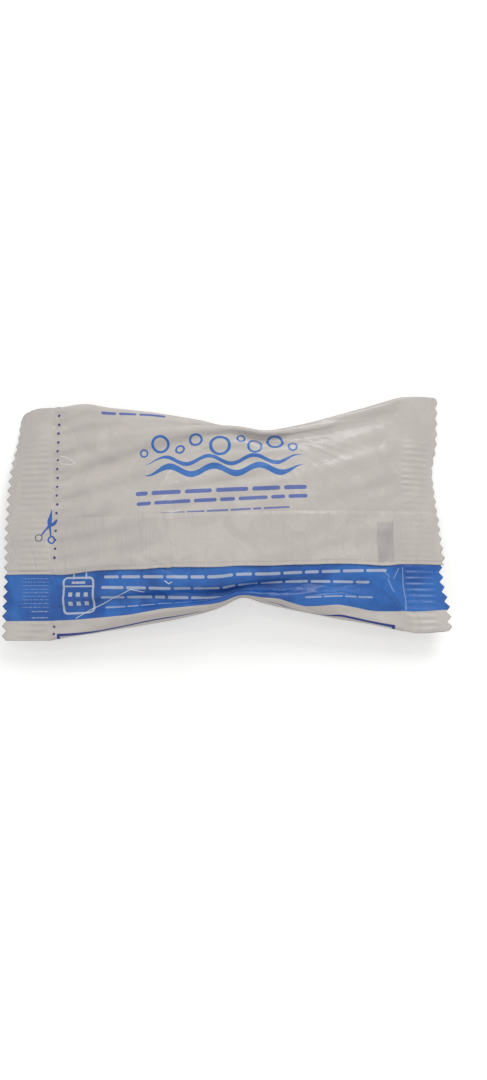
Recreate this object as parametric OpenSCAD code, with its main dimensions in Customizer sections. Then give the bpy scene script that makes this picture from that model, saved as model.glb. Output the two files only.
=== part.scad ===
// Sealed flow-wrap packet of a round washing machine cleaning tablet, lying flat with its fin seal up.
// One sheet of film is wrapped round the tablet and closed by a fin seal along its length, which is
// folded down on the upper face. Both ends are pressed into ribbed seals and cut with a zigzag knife.
// +X runs along the packet, +Z is up, and the origin is at the middle of the base.

/* [Film tube] */
// Length of the packet along its lower edge, between the tips of its cut ends
pack_l = 134; // [122:1:160]
// Width of the film tube where it is pressed flat
tube_w = 70; // [60:1:84]
// Thickness of the film layers pressed together
film_t = 0.3; // [0.2:0.05:0.5]
// How far the left end lies lower than the right one
left_drop = 2.4; // [0:0.2:4]

/* [Tablet bulge] */
// Diameter of the flat that the tablet gives both faces
bulge_d = 46; // [36:1:50]
// Height of the packet over the tablet
bulge_h = 17; // [12:0.5:22]
// Stand-off of the film from the tablet's rim at the waist
waist_gap = 1.7; // [1:0.1:4]
// Place of the waist along the upper edge, from the middle of the packet
upper_waist_x = 10; // [-12:1:12]
// Place of the waist along the lower edge, from the middle of the packet
lower_waist_x = 4; // [-12:1:12]
// Depth of the gathers that run from the tablet to the edges
gather_h = 0.7; // [0.2:0.1:1.2]
// Number of gathers round the tablet
gather_n = 19; // [9:1:25]

/* [End seals] */
// Plain strip between the pouch and the ribs
rib_inset = 0.9; // [0.6:0.1:2]
// Length of the ribs
rib_l = 9.6; // [6:0.1:12]
// Spacing of the ribs
rib_pitch = 1.75; // [1.5:0.05:2.5]
// Height of the ribs
rib_h = 0.5; // [0.2:0.05:0.8]
// Plain strip between the ribs and the zigzag cut
margin_w = 2.8; // [2:0.1:6]
// Spacing of the zigzag teeth
tooth_pitch = 2.9; // [2.4:0.1:4.5]
// Depth of the zigzag teeth
tooth_depth = 1.2; // [0.8:0.1:2]
// Angle by which the left end's upper corner droops, where the table leaves room
left_droop = 80; // [5:5:90]
// Angle by which the middle of the right end droops, where the table leaves room
right_droop = 70; // [5:5:90]
// How far the tablet draws the middle of the right end seal inwards; the left one moves a fifth of it
end_bow = 1; // [0:0.2:2.4]

/* [Fin seal] */
// Width of the fin, from its fold to its free edge
fin_w = 15.5; // [8:0.5:17]
// Thickness of the fin
fin_t = 0.3; // [0.2:0.05:0.5]
// Gap between the fin and the face it lies on
fin_gap = 0.25; // [0.15:0.05:0.5]
// Distance of the fin's fold above the packet's centre line
fin_fold_y = -1.5; // [-3:0.1:3]

/* [Hidden] */

seal_w = rib_inset + rib_l + margin_w + tooth_depth;
pouch_half_l = pack_l / 2 - seal_w;
bulge_r = bulge_d / 2;
waist_half_w = bulge_r + waist_gap;
rib_ramp = 0.5;        // length over which a rib rises from the plain film
fold_wall = 0.8;       // film between the fold's outside and the slit under the fin
table_clearance = 0.1; // height of the lowest cut edge over the table
droop_room = bulge_h / 2 - (film_t + rib_h) / 2 - fin_t - table_clearance;
degrees = 180 / PI;
room_turn = 2 * droop_room / seal_w;
most_droop = (room_turn + pow(room_turn, 3) / 12) * degrees;

pouch_gaps = 34;      // strips of film along the pouch
upper_steps = 15;     // points from the upper edge to the fin's fold
fin_steps = 6;        // points across the fin
lower_steps = 9;      // points from the fin's free edge to the lower edge
under_steps = 30;     // points across the underside
upper_slack = 4;      // how gently the upper edge turns at its waist
lower_slack = 0.8;    // how gently the lower edge turns at its waist
fold_step = 0.01;     // shift along a row's outline where the fin's fold rises
tie = 0.00001;        // places along two outlines that count as equal

function smooth(a, b, v) = let(t = min(1, max(0, (v - a) / (b - a)))) t * t * (3 - 2 * t);
function mix(a, b, t) = a + (b - a) * t;
function soft_min(a, b, k) = let(h = max(0, k - abs(a - b)) / k) min(a, b) - h * h * k / 4;

// Plan outline: each edge runs from its waist to the corners of both end seals
function softened(d, slack) = sqrt(d * d + slack * slack) - slack;
function edge_run(x, waist_x, end_x, slack) =
    min(1, softened(x - waist_x, slack) / softened(end_x - waist_x, slack));
function upper_y(x) = x < upper_waist_x
    ? mix(waist_half_w, tube_w / 2 - left_drop,
        sin(90 * pow(edge_run(x, upper_waist_x, -pouch_half_l, upper_slack), 1.05)))
    : mix(waist_half_w, tube_w / 2,
        pow(edge_run(x, upper_waist_x, pouch_half_l, upper_slack), 1.1));
function lower_y(x) = x < lower_waist_x
    ? -mix(waist_half_w, tube_w / 2 + left_drop,
        pow(edge_run(x, lower_waist_x, -pouch_half_l, lower_slack), 0.6))
    : -mix(waist_half_w, tube_w / 2,
        pow(edge_run(x, lower_waist_x, pouch_half_l, lower_slack), 0.8));
function fold_y(x) = fin_fold_y + left_drop / 2 * x / pouch_half_l;

// Fullness of the film at a point: 1 over the tablet, 0 at the outline and the end seals
function length_share(x) = abs(x) <= bulge_r ? 1
    : pow(max(0, (pouch_half_l - abs(x)) / (pouch_half_l - bulge_r)), 0.72);
// The sides stand up steeply at the tablet and to its right, where the film bellies out over each edge
function swell(x, at, spread) = exp(-pow((x - at) / spread, 2));
function boxiness(x, y) = 2.5 + 3.1 * pow(max(0, 1 - abs(x) / bulge_r), 1.9)
    + (y > 0 ? 5.2 * swell(x, 9, 17) : 2.7 * swell(x, 17, 25));
function width_share(x, y) = let(
    half = y > 0 ? upper_y(x) : -lower_y(x),
    n = boxiness(x, y)) pow(max(0, 1 - pow(min(1, abs(y) / half), n)), 1 / n);
function fullness(x, y) = soft_min(1.02 * length_share(x) * width_share(x, y), 1, 0.06);
function gathers(x, y, turn) = let(
    f = fullness(x, y),
    way = atan2(y, x) + turn,
    swell = cos(gather_n * way) + 0.6 * cos((gather_n - 6) * way + 70))
    gather_h * swell * 2 * f * pow(1 - f, 0.8);
function half_height(x, y) = film_t / 2 + (bulge_h - film_t) / 2 * fullness(x, y);
function top_z(x, y) = bulge_h / 2 + half_height(x, y) + gathers(x, y, 0);
function under_z(x, y) = bulge_h / 2 - half_height(x, y) + max(-0.2, gathers(x, y, 50));

// A pouch point, drawn inwards where the end seals bow
function bow(side) = end_bow * (side < 0 ? 0.2 : 1);
function pouch_point(x, y, z) = let(
    t = (y - lower_y(x)) / (upper_y(x) - lower_y(x)),
    pull = bow(x) * 4 * t * (1 - t) * pow(x / pouch_half_l, 4))
    [x - sign(x) * pull, y, z];

// A row is a closed outline round the packet: [place along the outline, point]. Places run 0 to 1 over
// the upper face to the fold, 1 to 2 over the fin, 3 to 4 back under it, 4 to 6 on over the face
// to the lower edge, and 7 to 8 over the underside.
function top_entry(x, y, place, lift) = [place, pouch_point(x, y, top_z(x, y) + lift)];
function pouch_row(x, slit) = let(
    top = upper_y(x),
    low = lower_y(x),
    fold = fold_y(x),
    free = fold - fin_w,
    slit_w = fin_w - fold_wall,
    raised = slit ? fin_gap + fin_t : fin_t)
    [for (part = [
        [for (i = [0:upper_steps]) let(y = fold + (top - fold) * cos(90 * i / upper_steps))
            top_entry(x, y, (top - y) / (top - fold), 0)],
        [for (i = [0:fin_steps]) let(t = i / fin_steps)
            top_entry(x, fold - fin_w * t, 1 + mix(fold_step, 1, t), raised)],
        [for (i = [0:fin_steps]) let(t = i / fin_steps)
            if (slit) top_entry(x, free + slit_w * t, 3 + t * (1 - fold_step), fin_gap)],
        [for (i = [0:fin_steps - 1]) let(t = i / fin_steps)
            if (slit) top_entry(x, free + slit_w * (1 - t), 4 + t, 0)],
        [for (i = [0:lower_steps]) let(y = free + (low - free) * sin(90 * i / lower_steps))
            top_entry(x, y, 5 + (free - y) / (free - low), 0)],
        [for (i = [0:under_steps]) let(y = mix(low, top, (1 - cos(180 * i / under_steps)) / 2))
            [7 + (y - low) / (top - low), pouch_point(x, y, under_z(x, y))]]
    ]) each part];

// Bend of an end seal at a height up its width: t is 0 at the lower edge and 1 at the upper one
function bend(side, t) = side < 0
    ? -min(left_droop, most_droop) * mix(0.22, 1, smooth(0.52, 1, t))
    : -min(right_droop, most_droop) * smooth(-0.1, 0.72, t) * (1 - 0.18 * smooth(0.68, 0.82, t));
// A seal point: v runs out from the pouch, and off is the distance above the middle of the film
function seal_point(side, v, y, off) = let(
    low = lower_y(side * pouch_half_l),
    high = upper_y(side * pouch_half_l),
    t = (y - low) / (high - low),
    turn = bend(side, t),
    flat = abs(turn) < 0.5,
    radius = flat ? 0 : seal_w / turn * degrees,
    along = turn * v / seal_w,
    out = flat ? v : radius * sin(along),
    rise = flat ? 0 : radius * (1 - cos(along)),
    inner = pouch_half_l - bow(side) * 4 * t * (1 - t))
    [side * (inner + out - off * sin(along)), y, bulge_h / 2 + rise + off * cos(along)];

// Heights across a seal: every half pitch from the fold, and the points where the outline breaks
function grid(from, to, fold, half_pitch) = let(
    first = ceil((from - fold) / half_pitch + 0.15),
    last = floor((to - fold) / half_pitch - 0.15))
    [from, for (k = [first:1:last]) fold + k * half_pitch, to];
function wave(y, fold, half_pitch) = let(
    k = (y - fold) / half_pitch,
    low = floor(k),
    t = k - low) (low % 2 == 0 ? 1 : -1) * (1 - 2 * t);
function inner_of(list) = [for (i = [1:1:len(list) - 2]) list[i]];
function down(list) = [for (i = [len(list) - 1:-1:0]) list[i]];
function seal_row(side, v, half_pitch, rib, tooth) = let(
    x = side * pouch_half_l,
    top = upper_y(x),
    low = lower_y(x),
    fold = fold_y(x),
    free = fold - fin_w,
    half = film_t / 2)
    [for (part = [
        [for (y = down(grid(fold, top, fold, half_pitch)))
            [(top - y) / (top - fold), y, half]],
        [for (y = down(grid(free, fold, fold, half_pitch)))
            [1 + mix(fold_step, 1, (fold - y) / fin_w), y, half + fin_t]],
        [for (y = down(grid(low, free, fold, half_pitch)))
            [5 + (free - y) / (free - low), y, half]],
        [for (y = [each grid(low, free, fold, half_pitch), each inner_of(grid(free, fold, fold, half_pitch)),
                each grid(fold, top, fold, half_pitch)])
            [7 + (y - low) / (top - low), y, -half]]
    ]) for (e = part) let(w = wave(e[1], fold, half_pitch))
        [e[0], seal_point(side, v - tooth * (1 - w) / 2, e[1], e[2] + rib * w / 2)]];

// Rows of one end, from the pouch outwards
rib_half = rib_pitch / 2;
tooth_half = tooth_pitch / 2;
rib_end = rib_inset + rib_l;
function end_rows(side) = [
    seal_row(side, rib_inset, rib_half, 0, 0),
    seal_row(side, rib_inset + rib_ramp, rib_half, rib_h, 0),
    seal_row(side, rib_inset + rib_l / 2, rib_half, rib_h, 0),
    seal_row(side, rib_end - rib_ramp, rib_half, rib_h, 0),
    seal_row(side, rib_end, rib_half, 0, 0),
    seal_row(side, rib_end + margin_w / 2, tooth_half, 0, 0),
    seal_row(side, seal_w, tooth_half, 0, tooth_depth)
];

// All rows, from the left cut edge to the right one
seal_rows_n = len(end_rows(1));
function is_slit(i) = i > 0 && i < pouch_gaps;
rows = concat(
    down(end_rows(-1)),
    [for (i = [0:pouch_gaps]) pouch_row(mix(-pouch_half_l, pouch_half_l, i / pouch_gaps), is_slit(i))],
    end_rows(1));
first_slit = seal_rows_n + 1;
last_slit = seal_rows_n + pouch_gaps - 1;

// Number of the first point of each row
row_sizes = [for (r = rows) len(r)];
function starts(sizes, i, sum) = i == len(sizes) ? [] : concat([sum], starts(sizes, i + 1, sum + sizes[i]));
row_starts = starts(row_sizes, 0, 0);
function numbered(i) = [for (k = [0:len(rows[i]) - 1]) [rows[i][k][0], row_starts[i] + k]];
function closed(list) = concat(list, [[9, list[0][1]]]);
function outer(list) = [for (e = list) if (e[0] <= 3 || e[0] >= 5) e];

// Triangles between two numbered lines of points, stepping along whichever is behind. Equal places
// go one way on the upper face and the other way below, so that the thin film keeps its thickness.
function first_behind(a, b, i, j) =
    i < len(a) - 1 && (j >= len(b) - 1 || a[i + 1][0] < b[j + 1][0] + (b[j + 1][0] < 7 ? tie : -tie));
function turned(face, flip) = flip ? [face[2], face[1], face[0]] : face;
function zip(a, b, flip) = [
    for (i = 0, j = 0;
        i < len(a) - 1 || j < len(b) - 1;
        step = first_behind(a, b, i, j), i = step ? i + 1 : i, j = step ? j : j + 1)
        turned(first_behind(a, b, i, j)
            ? [a[i][1], b[j][1], a[i + 1][1]]
            : [a[i][1], b[j][1], b[j + 1][1]], flip)];
function skin(i) = (i == first_slit - 1 || i == last_slit)
    ? zip(closed(outer(numbered(i))), closed(outer(numbered(i + 1))), false)
    : zip(closed(numbered(i)), closed(numbered(i + 1)), false);

// Walls: the cut edge of an end, and the closed end of the slit under the fin
function upper_line(list) = [for (e = list) if (e[0] <= 6) e];
function lower_line(list) = [for (e = list) if (e[0] >= 7) e];
points = [for (r = rows) for (e = r) e[1]];
// The foot of the fin's fold waits for the next point below, so that the wall doesn't fold over itself
function wait(place) = place > 1 && place < 1 + 2 * fold_step ? 1.02 * tooth_half : 0;
function by_height(list) = [for (e = list) [(wait(e[0]) - points[e[1]][1]) / tube_w, e[1]]];
function end_wall(i, flip) = let(line = numbered(i))
    zip(by_height(upper_line(line)), by_height(down(lower_line(line))), flip);
function slit_wall(i, flip) = let(
    line = numbered(i),
    roof = [for (e = down(line)) if (e[0] >= 3 && e[0] < 4) e],
    floor_line = [for (e = line) if (e[0] >= 4 && e[0] <= 5) e])
    zip(by_height(roof), by_height(floor_line), flip);

faces = concat(
    [for (i = [0:len(rows) - 2]) each skin(i)],
    end_wall(0, true),
    end_wall(len(rows) - 1, false),
    slit_wall(first_slit, false),
    slit_wall(last_slit, true));

// The base's middle goes to the origin
xs = [for (p = points) p[0]];
ys = [for (p = points) p[1]];
middle = [(min(xs) + max(xs)) / 2, (min(ys) + max(ys)) / 2, 0];

module packet() {
    color("gainsboro")
        translate(-middle)
            polyhedron(points = points, faces = faces, convexity = 10);
}

packet();
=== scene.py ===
# Washing machine cleaner packet: printed flow-wrap film round a disc-shaped tablet, lying on its plain face
import bpy
import math
import numpy as np
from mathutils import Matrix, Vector


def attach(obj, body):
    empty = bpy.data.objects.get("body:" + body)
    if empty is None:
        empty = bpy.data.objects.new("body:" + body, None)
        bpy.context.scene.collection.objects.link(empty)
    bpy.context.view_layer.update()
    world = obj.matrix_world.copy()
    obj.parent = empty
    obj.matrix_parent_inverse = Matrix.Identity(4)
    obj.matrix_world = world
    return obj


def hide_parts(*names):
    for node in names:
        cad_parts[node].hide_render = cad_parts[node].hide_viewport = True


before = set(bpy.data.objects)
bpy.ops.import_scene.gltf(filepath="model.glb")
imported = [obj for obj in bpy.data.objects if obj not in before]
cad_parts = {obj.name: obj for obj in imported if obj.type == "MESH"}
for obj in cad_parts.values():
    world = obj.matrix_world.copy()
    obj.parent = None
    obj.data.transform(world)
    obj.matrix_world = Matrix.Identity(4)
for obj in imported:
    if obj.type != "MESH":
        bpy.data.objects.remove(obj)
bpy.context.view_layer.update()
print("packet frame loaded")

# Places are in millimetres, x along the packet and y across it, and become metres when a mesh is made.
# A place on the film is (u, w): u along the packet, w away from the fin's fold, towards the lower edge.

packet = {
    "halfLength": 52.3,       # pouch between the end seals, from the middle
    "sealWidth": 14.7,        # end seal, up to the tips of its teeth
    "filmWidth": 73.5,        # the tube pressed flat
    "creaseAt": 36.5,         # w at the lower crease
    "height": 17.0,
    "finWidth": 15.3,
    "finFoldY": -1.5,
    "finSlope": 0.023,        # the fold runs up a little to the right
    "droop": 65.5,            # degrees, of both end seals at most
    "leftBow": 0.2,           # how far the tablet draws the middle of an end seal inwards
    "rightBow": 0.95,
    "shiftY": 1.2,            # the frame's middle lies this much lower
    "leftTurn": 0.22,         # share of the droop that the left seal has at its lower end
    "drifts": (-1.1, 1.2),    # lean of the left and of the right upper corner
}
pouchEnd, sealWidth, filmWidth = packet["halfLength"], packet["sealWidth"], packet["filmWidth"]

tablet = {"radius": 22.5, "height": 16.5, "edge": 2.4}

# The packet's two long edges, seen from above
longEdges = {
    "upper": [(-52.3, 32.1), (-48.5, 32.5), (-45, 33.2), (-41.5, 33.3), (-36, 32.1), (-29, 31.4), (-22, 30.6),
              (-15, 29.3), (-7.8, 27.9), (-0.8, 26.1), (4.5, 24.6), (9.5, 23.6), (13.5, 23.7), (20.4, 25.4),
              (27.5, 27.3), (34.6, 29.6), (41.6, 31.8), (48.7, 34.4), (52.3, 35.3)],
    "lower": [(-52.3, -37.9), (-46.7, -36.9), (-43.2, -36.3), (-39.6, -35.8), (-36.1, -35.2), (-29, -34.1),
              (-22, -32.9), (-15, -31.65), (-7.8, -30.0), (-4.3, -29.0), (-0.8, -27.6), (2, -25.8),
              (4.5, -24.6), (6.3, -24.9), (9.8, -26.4), (13.4, -27.4), (20.4, -28.9), (27.5, -30.3),
              (34.6, -31.7), (41.6, -32.8), (48.7, -34.4), (52.3, -35.1)],
    "softness": 0.7,          # rounding of the turns between these points
}


def smoothStep(low, high, value):
    t = np.clip((value - low) / (high - low), 0, 1)
    return t * t * (3 - 2 * t)


def softLine(points, softness):
    x, y = np.array(points).T
    fine = np.arange(x[0] - 8, x[-1] + 8, 0.1)
    # the line goes straight on past its ends
    before = y[0] + (fine - x[0]) * (y[1] - y[0]) / (x[1] - x[0])
    beyond = y[-1] + (fine - x[-1]) * (y[-1] - y[-2]) / (x[-1] - x[-2])
    ends = np.where(fine < x[0], before, np.where(fine > x[-1], beyond, np.interp(fine, x, y)))
    spread = np.exp(-0.5 * (np.arange(-40, 41) * 0.1 / softness) ** 2)
    return fine, np.convolve(np.pad(ends, 40, mode="edge"), spread / spread.sum(), "valid")


upperLine = softLine(longEdges["upper"], longEdges["softness"])
lowerLine = softLine(longEdges["lower"], longEdges["softness"])


def upperEdge(x):
    return np.interp(x, *upperLine)


def lowerEdge(x):
    return np.interp(x, *lowerLine)


def softNoise(count, scale, seed):
    random = np.random.default_rng(seed)
    knots = random.normal(0, 1, max(4, int(count / scale) + 3))
    at = np.linspace(0, len(knots) - 1.001, count)
    i = at.astype(int)
    t = at - i
    t = t * t * (3 - 2 * t)
    return knots[i] * (1 - t) + knots[i + 1] * t


def finFold(x):
    return packet["finFoldY"] + packet["finSlope"] * x


def sealEnds(side):
    at = side * pouchEnd
    return float(lowerEdge(at)), float(upperEdge(at))


def sealInner(side, y):
    low, high = sealEnds(side)
    t = (y - low) / (high - low)
    return pouchEnd - packet["leftBow" if side < 0 else "rightBow"] * 4 * t * (1 - t)


def sealPoint(side, v, y, off):
    # v runs outwards over the seal, t from the lower long edge to the upper one
    low, high = sealEnds(side)
    least = packet["leftTurn"]
    t = (y - low) / (high - low)
    if side < 0:
        turn = packet["droop"] * (least + (1 - least) * smoothStep(0.52, 1, t))
        drift = packet["drifts"][0] * smoothStep(4, 13, v) * smoothStep(0.75, 1, t)
    else:
        turn = packet["droop"] * smoothStep(-0.1, 0.72, t) * (1 - 0.18 * smoothStep(0.68, 0.82, t))
        lower = (0.6 * smoothStep(0, 4, v) - 0.5 * smoothStep(5, 14, v)) * smoothStep(0.15, 0, t)
        drift = packet["drifts"][1] * v / sealWidth * smoothStep(0.8, 1, t) - lower
    turn = -np.maximum(np.radians(turn), 0.01)
    radius = sealWidth / turn
    along = turn * v / sealWidth
    out = radius * np.sin(along) - off * np.sin(along)
    rise = radius * (1 - np.cos(along)) + off * np.cos(along)
    x = side * (sealInner(side, y) + out)
    return np.stack([x, y + drift, packet["height"] / 2 + rise], axis=-1)


# The film tube: started from the packet's plan and section, then relaxed as a thin sheet round the tablet
filmRelax = {
    "rows": 108,              # along the pouch
    "columns": 144,           # round the tube
    "steps": 420,
    "passes": 3,
    "pressure": 0.001,
    "bending": 0.1,
    "bendRest": 0.995,        # share of its flat length that the film bends towards
    "damping": 0.92,
    "clearance": 0.15,        # from the tablet
    "layerGap": 0.16,
    "unevenness": 0.06,       # of the film before it settles
    "seed": 7,
}


def startTube():
    rows, columns = filmRelax["rows"], filmRelax["columns"]
    end, height = pouchEnd, packet["height"]
    lengths = np.linspace(-end, end, rows + 1)
    points = np.zeros((rows + 1, columns, 3))
    k = np.linspace(0, 1, 400)
    near = 23  # how far the tablet's bulge reaches along the packet
    for i, x in enumerate(lengths):
        top, low = float(upperEdge(x)), float(lowerEdge(x))
        middle, half = (top + low) / 2, (top - low) / 2
        run = 1 if abs(x) < near else ((end - abs(x)) / (end - near)) ** 0.85
        power = 2.2 + 5.8 * max(0, 1 - abs(x) / near) ** 1.5
        y = middle - half * np.cos(np.pi * k)
        full = np.maximum(0, 1 - np.abs((y - middle) / half) ** power) ** (1 / power)
        z = height / 2 - (0.1 + 8.2 * np.minimum(1, 1.22 * run * full))
        for face in (0, 1):
            faceY, faceZ = (y, z) if face == 0 else (y[::-1], height - z[::-1])
            walked = np.concatenate([[0], np.cumsum(np.hypot(np.diff(faceY), np.diff(faceZ)))])
            at = np.linspace(0, walked[-1], columns // 2 + 1)[:-1]
            here = slice(face * columns // 2, (face + 1) * columns // 2)
            points[i, here, 1] = np.interp(at, walked, faceY)
            points[i, here, 2] = np.interp(at, walked, faceZ)
    for j in range(columns):
        left = -float(sealInner(-1, points[0, j, 1]))
        right = float(sealInner(1, points[rows, j, 1]))
        points[:, j, 0] = left + (right - left) * (lengths + end) / (2 * end)
    return lengths, points


def relaxTube(lengths, points):
    rows, columns = filmRelax["rows"], filmRelax["columns"]
    stepU, stepW = lengths[1] - lengths[0], 2 * filmWidth / columns
    stepD = math.hypot(stepU, stepW)
    middleZ = packet["height"] / 2
    free = np.ones((rows + 1, 1, 1))
    free[0] = free[rows] = 0
    weight = free * np.ones((rows + 1, columns, 1))
    random = np.random.default_rng(filmRelax["seed"])
    rough = random.normal(0, 1, points.shape)
    for _ in range(6):
        rough = (rough + np.roll(rough, 1, 1) + np.roll(rough, -1, 1)
                 + np.vstack([rough[1:], rough[-1:]]) + np.vstack([rough[:1], rough[:-1]])) / 5
    points = points + rough / rough.std() * filmRelax["unevenness"] * free
    last = points.copy()
    half = columns // 2
    topHalf = np.zeros((1, columns), bool)
    topHalf[0, half:] = True
    upper = [j % columns for j in range(columns, half - 1, -1)]

    def pull(a, b, weightA, weightB, rest, soft):
        gap = b - a
        length = np.sqrt((gap * gap).sum(-1, keepdims=True)) + 1e-9
        share = (length - rest) / length
        share = np.where(share < 0, share * soft, share) * gap / np.maximum(weightA + weightB, 1e-9)
        return share * weightA, share * weightB

    def pullAlong(axis, step, rest, soft):
        # the film's rows end at the seals, its columns close round the tube
        line, heavy = np.moveaxis(points, axis, 0), np.moveaxis(weight, axis, 0)
        count = rows + 1 - step if axis == 0 else columns
        for k in (0, 1):
            i = np.array([n for n in range(count) if (n // step) % 2 == k])
            j = (i + step) % len(line)
            moveA, moveB = pull(line[i], line[j], heavy[i], heavy[j], rest, soft)
            line[i] += moveA
            line[j] -= moveB

    def pullSlants(side, rest):
        for k in (0, 1):
            i = np.arange(k, rows, 2)
            turned = np.roll(points, -side, 1)
            moveA, moveB = pull(points[i], turned[i + 1], weight[i], weight[i + 1], rest, 1)
            points[i] += moveA
            points[i + 1] -= np.roll(moveB, side, 1)

    def keepOut():
        reach = np.hypot(points[..., 0], points[..., 1]) + 1e-9
        z = points[..., 2] - middleZ
        overR = reach - (tablet["radius"] - tablet["edge"])
        overZ = np.abs(z) - (tablet["height"] / 2 - tablet["edge"])
        outR, outZ = np.maximum(overR, 0), np.maximum(overZ, 0)
        outside = np.hypot(outR, outZ)
        distance = outside + np.minimum(np.maximum(overR, overZ), 0) - tablet["edge"]
        push = np.maximum(0, filmRelax["clearance"] - distance)
        leanR = np.where(outside > 1e-6, outR / np.maximum(outside, 1e-6), (overR > overZ) * 1.0)
        leanZ = np.where(outside > 1e-6, outZ / np.maximum(outside, 1e-6), (overR <= overZ) * 1.0)
        points[..., 0] += push * leanR * points[..., 0] / reach
        points[..., 1] += push * leanR * points[..., 1] / reach
        points[..., 2] += push * leanZ * np.where(topHalf | (z > 0), 1, -1)
        points[..., 2] = np.clip(points[..., 2], 0.02, packet["height"] + 0.3)
        points[..., 1] = np.clip(points[..., 1], lowerEdge(points[..., 0]), upperEdge(points[..., 0]))
        gap = points[:, upper, 2] - points[:, :half + 1, 2]
        part = np.maximum(0, filmRelax["layerGap"] - gap)[1:-1] / 2
        points[1:-1, :half + 1, 2] -= part
        points[1:-1, upper, 2] += part

    bendU, bendW = 2 * stepU * filmRelax["bendRest"], 2 * stepW * filmRelax["bendRest"]
    for step in range(filmRelax["steps"]):
        done = step / filmRelax["steps"]
        speed = points - last
        last = points.copy()
        alongU = np.zeros_like(points)
        alongU[1:-1] = points[2:] - points[:-2]
        normal = np.cross(np.roll(points, -1, 1) - np.roll(points, 1, 1), alongU)
        normal /= np.sqrt((normal * normal).sum(-1, keepdims=True)) + 1e-9
        pressure = normal * filmRelax["pressure"] * (1 + 3 * max(0, 1 - done * 3))
        points += (speed * filmRelax["damping"] + pressure) * free
        for _ in range(filmRelax["passes"]):
            pullAlong(0, 1, stepU, 1)
            pullAlong(1, 1, stepW, 1)
            pullSlants(1, stepD)
            pullSlants(-1, stepD)
            pullAlong(0, 2, bendU, filmRelax["bending"])
            pullAlong(1, 2, bendW, filmRelax["bending"])
            keepOut()
    return points


def reachEdges(points):
    # draws every row of the relaxed film out to the packet's two long edges
    x, y = points[..., 0], points[..., 1]
    rows = np.arange(len(points))
    low, high = y.argmin(1), y.argmax(1)
    lowGap = lowerEdge(x[rows, low]) - y[rows, low]
    highGap = upperEdge(x[rows, high]) - y[rows, high]
    for gap in (lowGap, highGap):
        gap[[0, -1]] = 0
        for _ in range(2):
            gap[1:-1] = (gap[:-2] + 2 * gap[1:-1] + gap[2:]) / 4
    t = (y - y.min(1)[:, None]) / (y.max(1) - y.min(1))[:, None]
    points[..., 1] = y + lowGap[:, None] * smoothStep(0.3, 0, t) + highGap[:, None] * smoothStep(0.7, 1, t)
    return points


def finer(points, axis, closed):
    # doubles the grid along one axis, with a smooth curve through the old points
    a = np.moveaxis(points, axis, 0)
    if closed:
        before, after, beyond = np.roll(a, 1, 0), np.roll(a, -1, 0), np.roll(a, -2, 0)
        between = (9 * (a + after) - before - beyond) / 16
        out = np.empty((2 * len(a),) + a.shape[1:])
    else:
        padded = np.concatenate([2 * a[:1] - a[1:2], a, 2 * a[-1:] - a[-2:-1]])
        between = (9 * (padded[1:-2] + padded[2:-1]) - padded[:-3] - padded[3:]) / 16
        out = np.empty((2 * len(a) - 1,) + a.shape[1:])
    out[0::2], out[1::2] = a, between
    return np.moveaxis(out, 0, axis)


# Sharp little creases that fan out from the waist at both long edges, and single folds on the upper face
filmCrease = {
    "fans": [((10.5, 25.0), 1), ((3.5, -27.5), 2)],
    "fanDepth": 0.26,
    "fanReach": (2.5, 9.0, 22.0, 40.0),
    "foldDepth": 0.3,
    # both ends of a fold, its width, and its share of the depth
    "folds": [((18, -25.5), (34, -20.5), 1.3, 1.2), ((24, -30.3), (46, -29.0), 1.1, -1.0),
              ((40, -18), (51, -28), 1.2, 1.1), ((44, -17), (50.5, -20), 0.9, -0.9),
              ((-50, 10), (-45, 12.5), 0.8, 1.2), ((-52, 14), (-40, 17), 1.2, 0.7),
              ((-50, -33), (-34, -22), 0.7, 0.9), ((-34, -22), (-28, -22.5), 0.6, 0.8),
              ((30, 13), (50, 20), 1.6, 0.8), ((34, 5), (51, 9), 1.3, -0.6),
              ((-46, 22), (-24, 12), 1.5, 0.7), ((-49, 27), (-30, 21), 1.2, -0.5),
              ((-48, -2), (-30, 1), 1.4, 0.6), ((47, -12), (47.5, 30), 1.1, 0.6),
              ((-28, 28), (-8, 22), 1.3, 0.5)],
}


def calmFilm(points):
    # the right half of the upper face lies flatter than the relaxed film
    count = points.shape[1]
    top = list(range(count // 2, count)) + [0]
    z = points[:, top, 2]
    soft = z.copy()
    for _ in range(80):
        soft[1:-1, 1:-1] = (soft[:-2, 1:-1] + soft[2:, 1:-1] + soft[1:-1, :-2] + soft[1:-1, 2:]) / 4
    place = np.minimum(np.arange(len(top)), np.arange(len(top))[::-1])
    share = 0.8 * smoothStep(6, 24, points[:, top, 0]) * smoothStep(2, 14, place)[None, :]
    points[:, top, 2] = z + (soft - z) * share
    return points


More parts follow.
